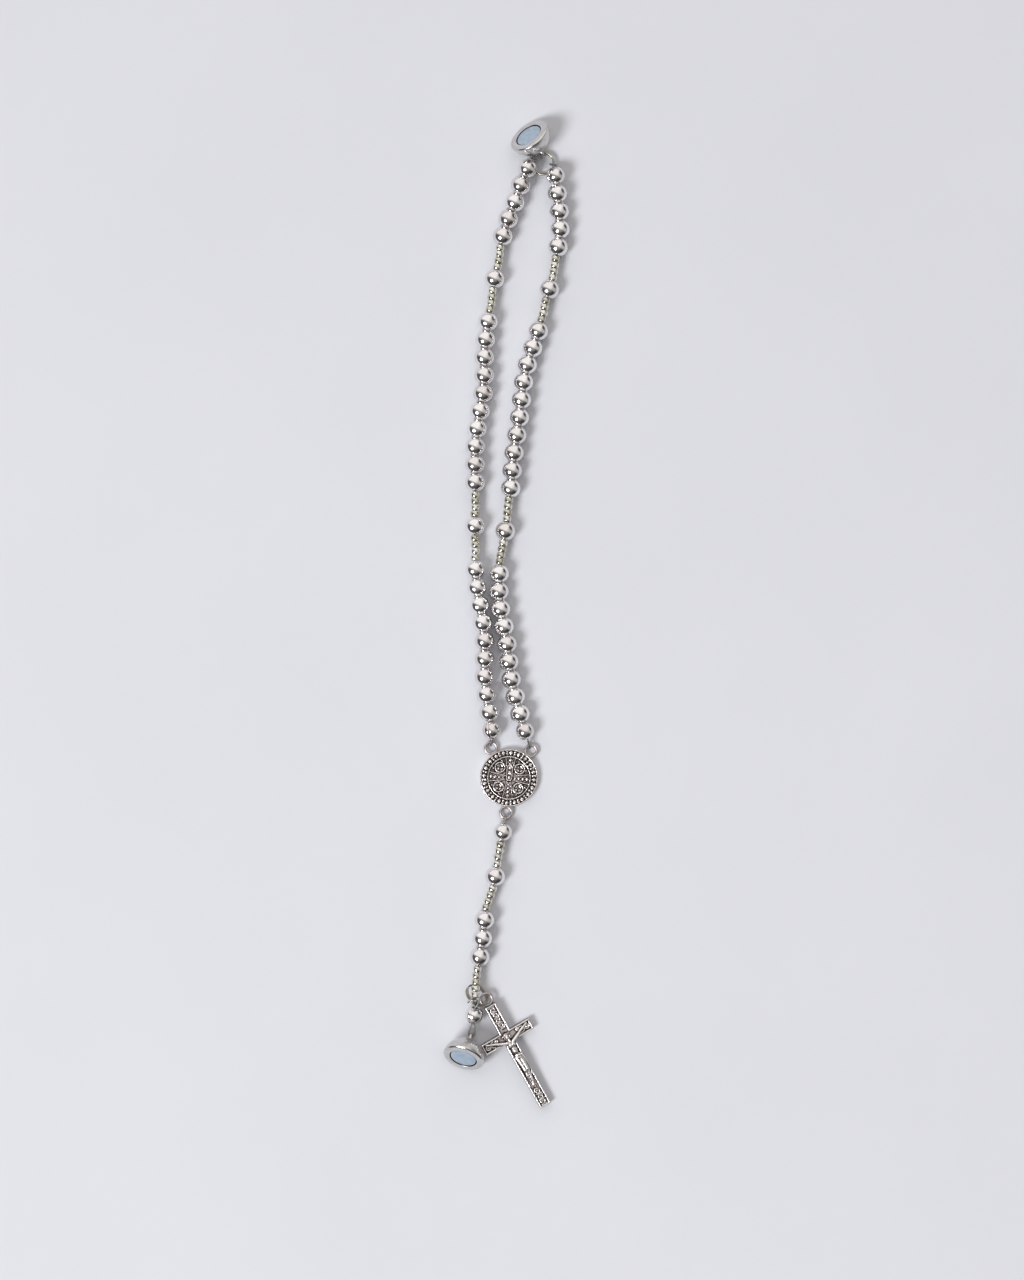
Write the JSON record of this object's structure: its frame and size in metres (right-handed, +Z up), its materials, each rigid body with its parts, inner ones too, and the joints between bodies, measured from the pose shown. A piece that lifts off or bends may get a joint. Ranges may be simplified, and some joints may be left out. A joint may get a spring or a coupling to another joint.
{
  "type": "rosary bracelet",
  "caption": "Rosary bracelet of round silver beads strung in decades, with a centre medal, a crucifix pendant and a magnetic clasp, lying open and flat.",
  "frame": {"origin": "on the surface that the bracelet lies on, under the centre of its outline box", "axes": "+Y along the bracelet towards the upper clasp half, +X to the right seen from above, +Z up"},
  "size_m": [0.0268, 0.2098, 0.0078],
  "materials": {
    "bead_silver": "polished silver, mirror bright",
    "cover_silver": "polished silver, closed round the crimp with a seam",
    "spacer_silver": "bright silver with a warm cast",
    "ring_silver": "bright drawn silver wire",
    "cast_silver": "cast silver, dark in the recesses and polished on the high parts",
    "satin_silver": "satin silver plate",
    "magnet_face": "smooth pale blue coating",
    "stringing_wire": "coated stranded beading wire"
  },
  "bodies": {
    "root": {"medal": "cast_silver", "crucifix": "cast_silver", "lower_ring": "ring_silver", "upper_ring": "ring_silver", "upper_cup": "satin_silver", "lower_cup": "satin_silver", "upper_magnet": "magnet_face", "lower_magnet": "magnet_face", "left_beads": "bead_silver", "right_beads": "bead_silver", "pendant_beads": "bead_silver", "left_spacers": "spacer_silver", "right_spacers": "spacer_silver", "pendant_spacers": "spacer_silver", "left_wire": "stringing_wire", "right_wire": "stringing_wire", "pendant_wire": "stringing_wire", "link_wire": "stringing_wire", "pendant_crimp": "spacer_silver", "upper_left_cover": "cover_silver", "upper_right_cover": "cover_silver", "medal_left_cover": "cover_silver", "medal_right_cover": "cover_silver", "pendant_cover": "cover_silver", "link_cover": "cover_silver"}
  },
  "joints": []
}
